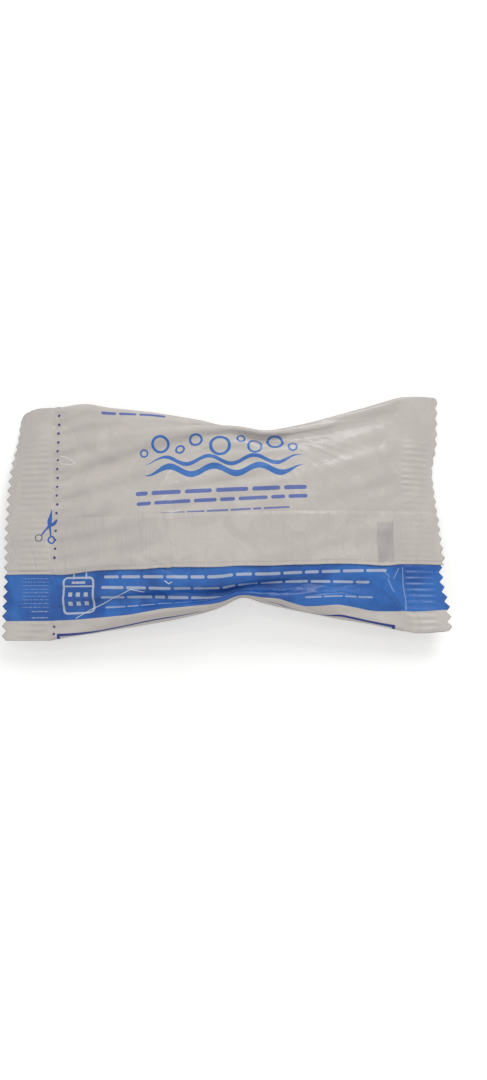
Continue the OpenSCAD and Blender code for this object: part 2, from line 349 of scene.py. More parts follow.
def creaseFilm(points):
    points = calmFilm(points.copy())
    onTop = np.zeros((1, points.shape[1]))
    onTop[0, points.shape[1] // 2 + 1:] = 1
    x, y, z = np.moveaxis(points, -1, 0)
    off = np.hypot(x, y)
    clear = smoothStep(19, 26, off) * smoothStep(pouchEnd, pouchEnd - 5, np.abs(x))
    shift = np.zeros_like(x)
    count = 721  # directions round a waist
    for (atX, atY), seed in filmCrease["fans"]:
        angle = np.arctan2(y - atY, x - atX)
        turns = softNoise(count, 6, seed) + 0.5 * softNoise(count, 3, seed + 5)
        ridge = np.interp(angle, np.linspace(-np.pi, np.pi, count), 0.5 - np.abs(turns))
        reach = np.hypot(x - atX, y - atY)
        near, full, fading, gone = filmCrease["fanReach"]
        fan = smoothStep(near, full, reach) * smoothStep(gone, fading, reach) * clear
        shift += filmCrease["fanDepth"] * ridge * fan * (1 - 0.65 * onTop * smoothStep(5, 20, x))
    for start, end, width, share in filmCrease["folds"]:
        a, b = np.array(start), np.array(end)
        way = b - a
        t = np.clip(((x - a[0]) * way[0] + (y - a[1]) * way[1]) / (way @ way), 0, 1)
        away = np.hypot(x - a[0] - t * way[0], y - a[1] - t * way[1]) / width
        ends = np.sin(np.pi * np.clip(t, 0.06, 0.94)) ** 0.5
        shift += onTop * filmCrease["foldDepth"] * share * np.exp(-away ** 1.5) * ends
    points[..., 2] = z + shift * np.where(onTop > 0, 1, -0.7)
    return points


lengths, tube = startTube()
tube = reachEdges(relaxTube(lengths, tube))
tube = creaseFilm(finer(finer(tube, 1, True), 0, False))
tube[..., 2] = np.maximum(tube[..., 2], 0.02)  # clear of the floor
lengths = finer(lengths[:, None], 0, False)[:, 0]
print("film relaxed round the tablet:", tube.shape)


# The end seals: two layers pressed into ribs, cut with a zigzag knife
endSeal = {
    "ribPitch": 1.8,
    "ribHeight": 0.26,
    "ribStart": 0.9,
    "ribEnd": 10.5,
    "teeth": 24,
    "toothDepth": 1.4,
    "layer": 0.12,            # half of the pressed film
    "rows": 26,
    "waviness": 0.3,
    "leftCorners": (1.0, 5.4),    # rounding of the lower and the upper corner
    "rightCorners": (2.4, 2.0),
    "tuck": 1.3,              # how far the right end's film stays back beside the fin
}


def toothWave(side, y):
    low, high = sealEnds(side)
    k = (y - low) / (high - low) * endSeal["teeth"] * 2
    return 1 - np.abs(k % 2 - 1)  # 1 at a tip, 0 in a notch and at both corners


def sealSurface(side, share, y, off, onFin=False):
    low, high = sealEnds(side)
    cut = endSeal["toothDepth"] * (1 - toothWave(side, y))
    if side > 0 and not onFin:
        cut = cut + endSeal["tuck"] * smoothStep(-29, -20, y) * smoothStep(-13, -16, y)
    for radius, away in zip(endSeal["leftCorners" if side < 0 else "rightCorners"], (y - low, high - y)):
        near = np.clip(1 - away / radius, 0, 1)
        cut = np.maximum(cut, radius * (1 - np.sqrt(1 - near * near)))
    end = sealWidth - cut
    flat = endSeal["ribEnd"] + 0.5
    plain = share * sealWidth
    v = np.where(plain < flat, plain, flat + (end - flat) * (plain - flat) / (sealWidth - flat))
    rise = smoothStep(endSeal["ribStart"], endSeal["ribStart"] + 0.7, v)
    rise = rise * (1 - smoothStep(endSeal["ribEnd"] - 0.7, endSeal["ribEnd"], v))
    strength = 0.65 + 0.35 * np.sin(y / 5.1 + 2 * side + v / 9) * np.sin(y / 2.3 + v / 3)
    # the right seal's ribs are weaker beside the fin's fold
    beside = 1 if side < 0 else 0.35 + 0.65 * (smoothStep(5, 11, y) + smoothStep(-12, -16, y))
    strength = strength * smoothStep(25, 19, y) * beside
    wave = np.sin(2 * np.pi * (y - finFold(side * pouchEnd)) / endSeal["ribPitch"])
    ripple = endSeal["waviness"] * np.sin(y / 4.7 + 1.3 * side) * np.sin(y / 11 + 0.6)
    ripple = ripple * (v / sealWidth) ** 2
    return sealPoint(side, v, y, off + endSeal["ribHeight"] / 2 * rise * strength * wave + ripple)


def addToScene(name, data):
    thing = bpy.data.objects.new(name, data)
    bpy.context.scene.collection.objects.link(thing)
    return thing


def addMesh(name, points, faces, places, slots):
    # places has one place on the film for each corner of each face, slots a material for each face
    mesh = bpy.data.meshes.new(name)
    mesh.from_pydata([tuple(p) for p in points * 0.001], [], faces)
    mesh.uv_layers.new(name="filmPlace").data.foreach_set("uv", places.astype(np.float32).ravel())
    mesh.polygons.foreach_set("material_index", np.array(slots, np.int32))
    mesh.shade_smooth()
    mesh.update()
    return addToScene(name, mesh)


def findFold():
    # w of the fin's fold, row by row, from where the film's upper face crosses the fold's line
    count = tube.shape[1]
    top = np.concatenate([tube[:, count // 2:], tube[:, :1]], 1)
    w = packet["creaseAt"] - filmWidth + np.arange(count // 2 + 1) * 2 * filmWidth / count
    found = [np.interp(-finFold(row[:, 0].mean()), -row[:, 1], w) for row in top]
    for _ in range(40):
        found[1:-1] = [(a + 2 * b + c) / 4 for a, b, c in zip(found[:-2], found[1:-1], found[2:])]
    return np.array(found)


foldLine = findFold()


def foldAt(u):
    return float(np.interp(u, lengths, foldLine))


# Where the film is drawn in at the lower waist, the printed edges lie at these w
filmGather = {
    "band": [(-67, 30.9), (-50, 30.8), (-44, 30.7), (-35, 30.2), (-28, 29.6), (-22, 28.6), (-18, 27.9),
             (-8, 27.6), (0, 27.9), (9, 27.7), (15, 27.5), (18, 28.5), (22.5, 29.8), (25.5, 29.4),
             (32.5, 28.5), (38, 29.3), (43, 30.2), (53, 30.1), (67, 29.6)],
    "rule": [(-67, 35.3), (-49, 35.2), (-37, 34.8), (-30, 33.6), (-22.5, 32.0), (-16.5, 31.0), (-8, 30.5),
             (4, 30.0), (14, 29.3), (17, 31.0), (22, 33.8), (29, 32.9), (33, 31.6), (39, 32.8),
             (48.9, 34.7), (67, 34.7)],
    "bandEdge": 30.4,         # where both are printed on the flat film
    "ruleLine": 35.2,
    "from": 24.5,             # the film outside these two is as printed
    "to": 60.0,
    "softness": 1.2,
}


def gathered(places):
    u, w = np.array(places).T
    band, rule = (np.interp(u, *softLine(filmGather[key], filmGather["softness"]))
                  for key in ("band", "rule"))
    first, bandEdge, ruleLine, last = (filmGather[key] for key in ("from", "bandEdge", "ruleLine", "to"))
    flat = np.minimum(w, first)
    for low, high, run in ((first, band, bandEdge - first), (band, rule, ruleLine - bandEdge),
                           (rule, last, last - ruleLine)):
        flat = flat + run * np.clip((w - low) / (high - low), 0, 1)
    return np.stack([u, flat + np.maximum(w - last, 0)], -1)


def buildFilm():
    rows, columns = len(lengths), tube.shape[1]
    fine = 2 * columns
    # from the lower edge over the underside, and back over the top
    along = np.arange(fine) * 2 * filmWidth / fine
    under = along <= filmWidth
    loops, lengthOf, roundOf = [], [], []

    def sealLoop(side, share):
        low, high = sealEnds(side)
        y = low + (high - low) * np.where(under, along, 2 * filmWidth - along) / filmWidth
        off = np.where(under, -1.0, 1.0) * endSeal["layer"]
        off[0] = off[fine // 2] = 0
        loops.append(sealSurface(side, share, y, off))
        lengthOf.append(np.full(fine, side * (pouchEnd + share * sealWidth)))
        roundOf.append(along)

    for k in range(endSeal["rows"], -1, -1):
        sealLoop(-1, k / endSeal["rows"])
    for i in range(1, rows - 1):
        loops.append(tube[i])
        lengthOf.append(np.full(columns, lengths[i]))
        roundOf.append(along[::2])
    for k in range(endSeal["rows"] + 1):
        sealLoop(1, k / endSeal["rows"])
    points = np.concatenate(loops)
    points[:, 1] += packet["shiftY"]
    starts = np.concatenate([[0], np.cumsum([len(loop) for loop in loops])])
    faces, places, slots = [], [], []

    def place(row, column):
        count = len(loops[row])
        w = roundOf[row][column % count] + (2 * filmWidth if column >= count else 0)
        return lengthOf[row][0], w

    def addFace(corners, onTop, slot=0):
        faces.append([int(starts[r] + c % len(loops[r])) for r, c in corners])
        slots.append(slot)
        for r, c in corners:
            u, w = place(r, c)
            places.append((u, w + packet["creaseAt"] - foldAt(u) - (2 * filmWidth if onTop else 0)))

    for r in range(len(loops) - 1):
        a, b = len(loops[r]), len(loops[r + 1])
        for c in range(min(a, b)):
            # a row of the seals has twice the points of a row of the pouch
            k, n = (2 if a > b else 1), (2 if b > a else 1)
            corners = [(r, k * c + i) for i in range(k + 1)] + [(r + 1, n * c + i) for i in range(n, -1, -1)]
            onTop = c >= min(a, b) // 2
            addFace(corners, onTop, not onTop)
    for r, flip in ((0, False), (len(loops) - 1, True)):
        for c in range(fine // 2):
            corners = [(r, (fine - c) % fine), (r, (fine - c - 1) % fine), (r, c + 1), (r, c)]
            corners = corners[::-1] if flip else corners
            corners = [k for n, k in enumerate(corners) if k not in corners[:n]]
            if len(corners) > 2:
                addFace(corners, False)
    return addMesh("filmWrap", points, faces, gathered(places), slots)


filmWrap = buildFilm()
print("film with its end seals:", len(filmWrap.data.polygons), "faces")


# The fin seal: a flat strip of two layers, folded down over the upper face
finSeal = {
    "layer": 0.12,            # each of the two layers
    "upperShort": 1.15,       # the upper layer ends this far before the lower one
    "stand": 0.1,             # clear height over the film
    "root": 1.0,              # how far it reaches back into the film
    "columns": 56,
    "lift": 0.5,              # how far the free edge stands up at most
    "edgeWave": 0.15,         # sideways waviness of the free edge
    "sealRows": 20,           # rows on each end seal
    "sink": 0.1,              # how deep the hidden edge lies in the film
    "seed": 11,
    # how far the free edge reaches from the fold, along the packet
    "reach": [(-67, 16.4), (-48, 16.4), (-38, 15.3), (-20, 15.0), (-7, 15.0), (6, 15.2), (21, 15.1),
              (33, 15.3), (42, 15.6), (48, 16.3), (52, 15.6), (60, 15.6), (67, 15.7)],
}


def buildFin():
    width, layer = packet["finWidth"], finSeal["layer"]
    count = tube.shape[1]
    step = 2 * filmWidth / count
    short = width - finSeal["upperShort"]
    across = np.concatenate([np.linspace(-finSeal["root"], short - 0.04, finSeal["columns"] - 6),
                             [short + 0.04], np.linspace(short + 0.3, width, 5)])
    columns = len(across) - 1
    rowsBase, rowsU = [], []
    sealRows = finSeal["sealRows"]

    def reaching(u):
        return across * float(np.interp(u, *np.array(finSeal["reach"]).T)) / width

    def sampled(i):
        at = (reaching(lengths[i]) + foldLine[i] + 2 * filmWidth - packet["creaseAt"]) / step
        j = np.floor(at).astype(int)
        t = (at - j)[:, None]
        return tube[i][j % count] * (1 - t) + tube[i][(j + 1) % count] * t

    def sealRow(side, k):
        low, high = sealEnds(side)
        squeeze = (high - low) / filmWidth
        u = side * (pouchEnd + k / sealRows * sealWidth)
        y = low + (packet["creaseAt"] - foldLine[0 if side < 0 else -1] - reaching(u)) * squeeze
        rowsBase.append(sealSurface(side, k / sealRows, y, np.full(columns + 1, endSeal["layer"]), True))
        rowsU.append(u)

    for k in range(sealRows, 0, -1):
        sealRow(-1, k)
    wide = np.array([sampled(i) for i in range(len(lengths))])
    smooth = wide.copy()
    for _ in range(14):
        smooth[1:-1] = (smooth[:-2] + 2 * smooth[1:-1] + smooth[2:]) / 4
        smooth[:, 1:-1] = (smooth[:, :-2] + 2 * smooth[:, 1:-1] + smooth[:, 2:]) / 4
    smooth[..., 2] = np.maximum(smooth[..., 2], wide[..., 2])
    rowsBase.extend(smooth)
    rowsU.extend(lengths)
    for k in range(1, sealRows + 1):
        sealRow(1, k)
    base, u = np.array(rowsBase), np.array(rowsU)
    total = len(u)
    alongU, alongW = np.gradient(base, axis=0), np.gradient(base, axis=1)
    normal = np.cross(alongW, alongU)
    normal /= np.sqrt((normal * normal).sum(-1, keepdims=True)) + 1e-9
    normal *= np.sign(normal[..., 2:3])
    pouch = smoothStep(pouchEnd + 1, pouchEnd - 7, np.abs(u))
    lift = finSeal["lift"] * np.clip(0.4 + 0.3 * softNoise(total, 16, finSeal["seed"]), 0, 1) * pouch
    wave = finSeal["edgeWave"] * softNoise(total, 22, finSeal["seed"] + 1) * pouch
    rise = smoothStep(-finSeal["root"], 0.3, across)
    stand = -finSeal["sink"] + (finSeal["sink"] + finSeal["stand"]) * rise
    curl = smoothStep(0.35, 1, across / width) ** 1.5
    low = base + normal * (stand[None, :] + lift[:, None] * curl[None, :])[..., None]
    low[..., 1] -= wave[:, None] * smoothStep(0.5, 1, across / width)[None, :]
    thick = layer * np.where(across < short, 2, 1)
    points = np.concatenate([(low + normal * thick[None, :, None]).reshape(-1, 3), low.reshape(-1, 3)])
    points[:, 1] += packet["shiftY"]
    places = np.stack(np.broadcast_arrays(u[:, None], np.array([reaching(k) for k in u])), -1)
    places = np.concatenate([places.reshape(-1, 2)] * 2)
    n = columns + 1
    under = total * n
    faces = []
    for r in range(total - 1):
        for c in range(columns):
            a = r * n + c
            faces.append((a, a + 1, a + n + 1, a + n))
            faces.append((a + under, a + under + n, a + under + n + 1, a + under + 1))
        for a, b in ((r * n + n, r * n), (r * n + columns, r * n + n + columns)):
            faces.append((a, b, b + under, a + under)[::-1])
    for c in range(columns):
        for a, b in ((c, c + 1), ((total - 1) * n + c + 1, (total - 1) * n + c)):
            faces.append((a, a + under, b + under, b))
    return addMesh("finSeal", points, faces, places[np.array(faces).ravel()], [0] * len(faces))


finStrip = buildFin()
print("fin seal:", len(finStrip.data.polygons), "faces")


def colourOf(red, green, blue):
    # from the picture's 0 to 255 to linear values
    shares = [c / 255 for c in (red, green, blue)]
    return (*[c / 12.92 if c <= 10 / 255 else ((c + 0.055) / 1.055) ** 2.4 for c in shares], 1)


inkEdge = 0.07  # softness of printed edges


# Adds nodes to one tree; a value is a socket of another node, or a plain number or colour
class NodeDesk:

    def __init__(self, tree):
        self.tree = tree
        self.place = None  # where on the film the printed shapes are measured

    def add(self, kind, **values):
        node = self.tree.nodes.new(kind)
        for key, value in values.items():
            setattr(node, key, value)
        return node

    def put(self, socket, value):
        if isinstance(value, bpy.types.NodeSocket):
            self.tree.links.new(value, socket)
        else:
            socket.default_value = value

    def putAll(self, node, values):
        for socket, value in zip(node.inputs, values):
            self.put(socket, value)
        return node

    def math(self, operation, *values):
        return self.putAll(self.add("ShaderNodeMath", operation=operation), values).outputs[0]

    def plus(self, a, b):
        return self.math("ADD", a, b)

    def minus(self, a, b):
        return self.math("SUBTRACT", a, b)

    def times(self, a, b):
        return self.math("MULTIPLY", a, b)

    def over(self, a, b):
        return self.math("DIVIDE", a, b)

    def larger(self, a, b):
        return self.math("MAXIMUM", a, b)

    def size(self, a):
        return self.math("ABSOLUTE", a)

    def most(self, values):
        total = values[0]
        for value in values[1:]:
            total = self.larger(total, value)
        return total

    def reach(self, a, b):
        return self.math("SQRT", self.plus(self.times(a, a), self.times(b, b)))

    def vector(self, operation, *values):
        node = self.putAll(self.add("ShaderNodeVectorMath", operation=operation), values)
        return node.outputs["Value" if operation in ("DOT_PRODUCT", "DISTANCE") else "Vector"]

    def scaled(self, vector, share):
        node = self.add("ShaderNodeVectorMath", operation="SCALE")
        self.put(node.inputs[0], vector)
        self.put(node.inputs["Scale"], share)
        return node.outputs[0]

    def split(self, vector):
        node = self.putAll(self.add("ShaderNodeSeparateXYZ"), [vector])
        return node.outputs[0], node.outputs[1]

    def ramp(self, value, fromLow, fromHigh, toLow=0.0, toHigh=1.0, kind="SMOOTHSTEP"):
        node = self.add("ShaderNodeMapRange", interpolation_type=kind)
        return self.putAll(node, (value, fromLow, fromHigh, toLow, toHigh)).outputs[0]

    def ink(self, distance):
        return self.ramp(distance, -inkEdge, inkEdge, 1.0, 0.0)

    def mix(self, mask, a, b):
        node = self.add("ShaderNodeMix", data_type="RGBA")
        self.put(node.inputs["Factor"], mask)
        self.put(node.inputs[6], a)
        self.put(node.inputs[7], b)
        return node.outputs[2]

    def group(self, tree, **values):
        node = self.add("ShaderNodeGroup", node_tree=tree)
        for key, value in values.items():
            self.put(node.inputs[key], value)
        return node

    def shape(self, tree, **values):
        return self.group(tree, Place=self.place, **values).outputs[0]

    def closeGroup(self, **outputs):
        for key in outputs:
            self.tree.interface.new_socket(name=key, in_out="OUTPUT", socket_type="NodeSocketFloat")
        end = self.add("NodeGroupOutput")
        for key, value in outputs.items():
            self.put(end.inputs[key], value)
        return self.tree


def newGroup(name, **inputs):
    # gives the desk of the new group, its place socket and the sockets of its inputs, in their order
    tree = bpy.data.node_groups.new(name, "ShaderNodeTree")
    for key, value in {"Place": (0, 0, 0), **inputs}.items():
        kind = "NodeSocketVector" if isinstance(value, tuple) else "NodeSocketFloat"
        tree.interface.new_socket(name=key, in_out="INPUT", socket_type=kind).default_value = value
    desk = NodeDesk(tree)
    return desk, *desk.add("NodeGroupInput").outputs[:len(inputs) + 1]


def makeInkBox():
    desk, place, centre, half, corner, line = newGroup(
        "inkBox", Centre=(0, 0, 0), Half=(1, 1, 0), Corner=0.0, Line=0.0)
    away = desk.vector("ABSOLUTE", desk.vector("SUBTRACT", place, centre))
    x, y = desk.split(desk.vector("SUBTRACT", away, half))
    x, y = desk.plus(x, corner), desk.plus(y, corner)
    outside = desk.reach(desk.larger(x, 0.0), desk.larger(y, 0.0))
    distance = desk.minus(desk.plus(outside, desk.math("MINIMUM", desk.larger(x, y), 0.0)), corner)
    # a line width above 0 leaves only the outline
    outline = desk.minus(desk.size(distance), desk.times(line, 0.5))
    lined = desk.math("GREATER_THAN", line, 0.0)
    chosen = desk.plus(desk.times(outline, lined), desk.times(distance, desk.minus(1.0, lined)))
    return desk.closeGroup(Ink=desk.ink(chosen))


def makeInkStroke():
    # a straight stroke with round ends, as wide as First at its start and as Last at its end
    desk, place, start, end, first, last, edge = newGroup(
        "inkStroke", Start=(0, 0, 0), End=(1, 0, 0), First=1.0, Last=1.0, Edge=inkEdge)
    away = desk.vector("SUBTRACT", place, start)
    way = desk.vector("SUBTRACT", end, start)
    share = desk.over(desk.vector("DOT_PRODUCT", away, way), desk.vector("DOT_PRODUCT", way, way))
    share = desk.math("MINIMUM", desk.larger(share, 0.0), 1.0)
    reach = desk.vector("DISTANCE", away, desk.scaled(way, share))
    width = desk.plus(first, desk.times(share, desk.minus(last, first)))
    distance = desk.minus(reach, desk.times(width, 0.5))
    return desk.closeGroup(Ink=desk.ramp(distance, desk.times(edge, -1.0), edge, 1.0, 0.0))


def makeInkRing():
    desk, place, centre, radius, line = newGroup("inkRing", Centre=(0, 0, 0), Radius=1.0, Line=0.4)
    away = desk.size(desk.minus(desk.vector("DISTANCE", place, centre), radius))
    return desk.closeGroup(Ink=desk.ink(desk.minus(away, desk.times(line, 0.5))))


def makeInkBars():
    # a row of round-ended bars of uneven length, about as long as Bar
    desk, place, left, right, base, rise, height, bar, seed = newGroup(
        "inkBars", Left=0.0, Right=10.0, Base=0.0, Rise=0.0, Height=1.0, Bar=6.0, Seed=0.0)
    x, y = desk.split(place)
    run = desk.over(desk.minus(x, left), bar)

    def startOf(number):
        chance = desk.add("ShaderNodeTexWhiteNoise", noise_dimensions="1D")
        desk.put(chance.inputs["W"], desk.plus(number, desk.times(seed, 31.7)))
        return desk.plus(number, desk.times(chance.outputs["Value"], 0.62))

    number = desk.math("FLOOR", run)
    number = desk.minus(number, desk.math("LESS_THAN", run, startOf(number)))
    start = desk.times(startOf(number), bar)
    end = desk.times(startOf(desk.plus(number, 1.0)), bar)
    half = desk.minus(desk.times(desk.minus(end, start), 0.5), desk.times(height, 0.95))
    centre = desk.plus(left, desk.times(desk.plus(start, end), 0.5))
    sideX = desk.larger(desk.minus(desk.size(desk.minus(x, centre)), half), 0.0)
    line = desk.plus(base, desk.times(rise, desk.minus(x, left)))
    sideY = desk.minus(desk.minus(y, line), desk.times(height, -0.5))
    ink = desk.ink(desk.minus(desk.reach(sideX, sideY), desk.times(height, 0.5)))
    inSpan = desk.times(desk.math("GREATER_THAN", number, -0.5),
                        desk.math("LESS_THAN", desk.plus(left, end), right))
    return desk.closeGroup(Ink=desk.times(ink, inSpan))


def makeInkDots():
    # a cutting line of round dots, leaning a little
    desk, place, line, lean, pitch, radius, shift = newGroup(
        "inkDots", Line=0.0, Lean=0.0, Pitch=2.6, Radius=0.5, Shift=0.0)
    x, y = desk.split(place)
    side = desk.minus(desk.minus(x, line), desk.times(y, lean))
    cell = desk.minus(desk.math("FRACT", desk.over(desk.plus(y, shift), pitch)), 0.5)
    return desk.closeGroup(Ink=desk.ink(desk.minus(desk.reach(side, desk.times(cell, pitch)), radius)))


def makeRibHighlightLines():
    # rows of short broken lines, painted highlights along the sharply pressed ribs of a seal
    desk, place, left, right, low, high, pitch, height = newGroup(
        "ribHighlightLines", Left=0.0, Right=10.0, From=0.0, To=10.0, Pitch=1.1, Height=0.2)
    x, y = desk.split(place)
    row = desk.over(desk.minus(y, low), pitch)
    away = desk.times(desk.size(desk.minus(desk.math("FRACT", row), 0.5)), pitch)
    line = desk.ink(desk.minus(away, desk.times(height, 0.5)))
    broken = desk.add("ShaderNodeTexNoise", noise_dimensions="1D")
    desk.put(broken.inputs["W"], desk.plus(desk.times(x, 0.55), desk.times(desk.math("FLOOR", row), 9.7)))
    line = desk.times(line, desk.ramp(broken.outputs[0], 0.42, 0.56))
    ends = desk.times(desk.ramp(x, left, desk.plus(left, 1.5)),
                      desk.ramp(x, desk.minus(right, 1.0), right, 1.0, 0.0))
    span = desk.times(desk.math("GREATER_THAN", y, low), desk.math("LESS_THAN", y, high))
    return desk.closeGroup(Ink=desk.times(line, desk.times(ends, span)))


def makeInkWave():
    # a wave that thins out towards both ends
    desk, place, left, right, middle, swing, length, width, turn = newGroup(
        "inkWave", Left=-10.0, Right=10.0, Middle=0.0, Swing=1.5, Length=12.0, Width=1.2, Turn=0.0)
    x, y = desk.split(place)
    angle = desk.plus(desk.times(desk.over(x, length), 2 * math.pi), turn)
    line = desk.plus(middle, desk.times(desk.math("SINE", angle), swing))
    half = desk.times(desk.minus(right, left), 0.5)
    share = desk.over(desk.size(desk.minus(x, desk.plus(left, half))), half)
    thick = desk.times(desk.times(width, 0.5), desk.ramp(share, 0.55, 1.0, 1.0, -0.2))
    return desk.closeGroup(Ink=desk.ink(desk.minus(desk.size(desk.minus(y, line)), thick)))


inkBox, inkStroke, inkRing, inkBars = makeInkBox(), makeInkStroke(), makeInkRing(), makeInkBars()
inkDots, inkWave, ribHighlightLines = makeInkDots(), makeInkWave(), makeRibHighlightLines()
print("print shapes ready")


def makeSheetFinish():
    # cloudy patches, soft dents, small creases and fine grain of laminated film, heights in millimetres
    desk, place, mottle, crease, upright = newGroup("sheetFinish", Mottle=0.05, Crease=1.0, Upright=0.0)

    def noise(at, *values):
        node = desk.add("ShaderNodeTexNoise", noise_dimensions="2D")
        desk.put(node.inputs["Vector"], at)
        for key, value in zip(("Scale", "Detail", "Roughness", "Distortion"), values):
            node.inputs[key].default_value = value
        return node

    cloud = noise(place, 0.06, 2.0, 0.4, 0.8).outputs[0]
    patches = desk.ramp(noise(place, 0.075, 1.5, 0.4, 1.4).outputs[0], 0.47, 0.62)
    shade = desk.plus(desk.minus(cloud, 0.5), desk.times(patches, 0.34))
    grain = noise(place, 0.35, 4.0, 0.55, 0.6)
    cells = desk.add("ShaderNodeTexVoronoi", voronoi_dimensions="2D", feature="DISTANCE_TO_EDGE")
    bent = desk.vector("MULTIPLY_ADD", grain.outputs["Color"], (4.0, 4.0, 0.0), place)
    desk.put(cells.inputs["Vector"], bent)
    cells.inputs["Scale"].default_value = 0.085
    folds = desk.ramp(cells.outputs["Distance"], 0.0, 0.09, 1.0, 0.0)
    folds = desk.times(folds, desk.ramp(cloud, 0.42, 0.62))
    narrow = desk.vector("MULTIPLY", place, (0.34, 0.07, 1.0))
    wrinkles = desk.size(desk.minus(noise(narrow, 1.0, 2.0, 0.5, 0.5).outputs[0], 0.5))
    height = desk.plus(desk.times(grain.outputs[0], 0.13), desk.times(folds, 0.05))
    height = desk.plus(height, desk.times(patches, 0.06))
    height = desk.minus(height, desk.times(wrinkles, desk.times(upright, 0.55)))
    rough = desk.ramp(grain.outputs[0], 0.3, 0.7, 0.36, 0.47, "LINEAR")
    return desk.closeGroup(
        Shade=desk.plus(0.99, desk.times(shade, mottle)),
        Roughness=desk.minus(rough, desk.times(patches, 0.05)),
        Height=desk.times(height, crease),
        Cloud=desk.ramp(desk.plus(cloud, desk.times(grain.outputs[0], 0.35)), 0.5, 0.85))


sheetFinish = makeSheetFinish()

# Colours as the film shows them
filmColours = {
    "film": (199, 192, 187),
    "band": (30, 86, 164),
    "bandWorn": (44, 106, 184),
    "rule": (30, 56, 136),
    "dots": (70, 62, 128),
    "ring": (92, 98, 118),
    "blades": (48, 98, 178),
    "bars": (70, 98, 172),
    "motif": (56, 112, 186),
    "pale": (206, 210, 216),
    "mark": (158, 153, 155),
    # painted highlight on the crease ridges and seal ribs
    "creaseHighlight": (236, 238, 240),
    # painted shade in the crease valleys
    "creaseShade": (20, 44, 96),
}
inks = {key: colourOf(*value) for key, value in filmColours.items()}

# The print, in millimetres on the film. A row of bars: left, right, base, height, bar length, seed, rise
filmPrint = {
    "bandFrom": 13.2,
    "ruleTo": 98.0,
    "calendar": (-43.55, 23.0),
    "bandRows": [(-38.4, 50.5, 17.9, 0.85, 6.5, 1, 0), (-37.2, 49.5, 21.0, 0.85, 6.5, 2, 0.008),
                 (-37.2, 13, 24.1, 0.85, 6.5, 3, 0.02)],
    "faintRows": [(-36.4, 4, 27.4, 0.6, 5, 4, 0), (21, 46.5, 27.6, 0.6, 5, 5, -0.06)],
    "faceRows": [(-31, 29, -6.2, 1.25, 8.5, 6, -0.02), (-29, 28.5, -3.3, 1.1, 7.5, 7, -0.027),
                 (-39.5, -14, -32.6, 0.9, 6, 9, 0)],
    "thinRows": [(-19.6, 20, -0.5, 0.6, 6, 8, -0.03)],
    # middle, width and turn of each wave
    "waves": [(-13.6, 1.9, 0.0), (-16.6, 1.2, 0.7)],
    # centre, radius and line of each bubble
    "bubbles": [((-19, -22.0), 2.3, 0.8), ((-13.2, -20.0), 1.2, 0.6), ((-8.6, -22.8), 1.7, 0.7),
                ((-1.5, -21.0), 2.7, 0.9), ((4.6, -23.2), 1.1, 0.6), ((8.6, -20.7), 1.9, 0.7),
                ((14.6, -22.4), 2.2, 0.8), ((19.6, -20.3), 1.2, 0.6), ((-24, -19.6), 1.0, 0.5)],
    "backRows": [(-42, 40, 46.0, 1.1, 7, 11, 0), (-42, 40, 49.6, 1.1, 7, 12, 0),
                 (-42, 40, 53.2, 1.1, 7, 13, 0), (-42, 12, 56.8, 1.1, 7, 14, 0)],
    # three plain marks on the back, and what stands in each ring
    "backMarks": (-28, 0, 28),
    "backRings": [((-28, 72), 1.75, 3.5), ((0, 72), 4.6, 0.9), ((0, 72), 1.0, 2.0)],
    "cutLine": -51.0,
    "dotPitch": 2.79,
    "dotsTo": 12.6,           # the fin covers the dots from here on
    "lowDots": [((-51.0, 32.4), 0.21, 0.42), ((-51.0, 34.8), 0.21, 0.42)],
    # strokes of the scissors: start, end, and both widths
    "scissors": [((-52.5, -4.1), (-53.05, -0.4), 0.1, 1.4), ((-53.05, -0.4), (-53.0, 1.0), 1.4, 1.2),
                 ((-50.8, -0.4), (-51.6, 0.6), 0.8, 1.0), ((-51.6, 0.6), (-53.0, 1.0), 1.0, 1.2),
                 ((-53.0, 1.0), (-55.4, 4.0), 0.75, 0.4), ((-53.0, 1.0), (-52.6, 4.5), 0.75, 0.45)],
    "blueLoop": ((-52.3, 5.6), 1.05, 0.5),
    "greyLoop": ((-56.2, 4.9), 1.0, 0.34),
}

# Places where the film has been creased sharply: painted highlights as pale lines on small ridges, and
# painted shade as darker lines in the valleys
creaseHighlightsAndShade = {
    "pale": [[(-44.1, 30.0), (-40.2, 27.6), (-36.3, 26.0), (-32.4, 23.7), (-27.6, 21.1), (-23.7, 22.0)],
             [(-17.6, 18.6), (-16.4, 19.4), (-15.6, 18.9)],
             [(-50.2, -20.7), (-48.2, -20.2), (-44.9, -18.1), (-46.2, -17.7), (-49.5, -18.2),
              (-50.6, -19.2)]],
    "faintHighlight": [[(51.8, 16.9), (49.8, 20.0)], [(47.9, 20.0), (49.9, 24.1)],
              [(53.0, 16.6), (52.9, 22.3), (53.5, 27.0), (53.4, 30.1)],
              [(46.2, 17.2), (48.4, 19.4)], [(51.8, 10.8), (50.9, 13.4), (50.0, 13.6)]],
    "valleyShade": [[(45.1, 23.4), (48.0, 25.7), (51.8, 30.0)], [(49.9, 25.6), (52.4, 29.8)],
               [(22, 21.5), (32, 22.8), (40, 21.5)], [(24, 26.4), (33, 24.6), (41, 26.5)]],
    "highlightWidth": 0.2,
    "highlightEdge": 0.1,
    "faintHighlightEdge": 0.14,
    "valleyShadeWidth": 0.1,
    "valleyShadeEdge": 0.8,
    "highlightShare": 0.95,
    "faintHighlightShare": 0.4,
    "valleyShadeShare": 0.28,
    "ridgeHeight": 0.08,
    "valleyDepth": 0.2,
    "ribHighlightLine": 0.2,
    # painted highlights along the pressed ribs of the end seals: left, right, from, to, pitch and strength
    "ribs": [(-61.5, -52.3, 17.1, 27.0, 1.1, 0.35), (-58.6, -52.3, 26.8, 32.2, 1.8, 0.9),
             (53.8, 62.5, 17.0, 29.0, 1.8, 0.16)],
}


def box(desk, centre, half, corner=0.0, line=0.0):
    return desk.shape(inkBox, Centre=(*centre, 0), Half=(*half, 0), Corner=corner, Line=line)


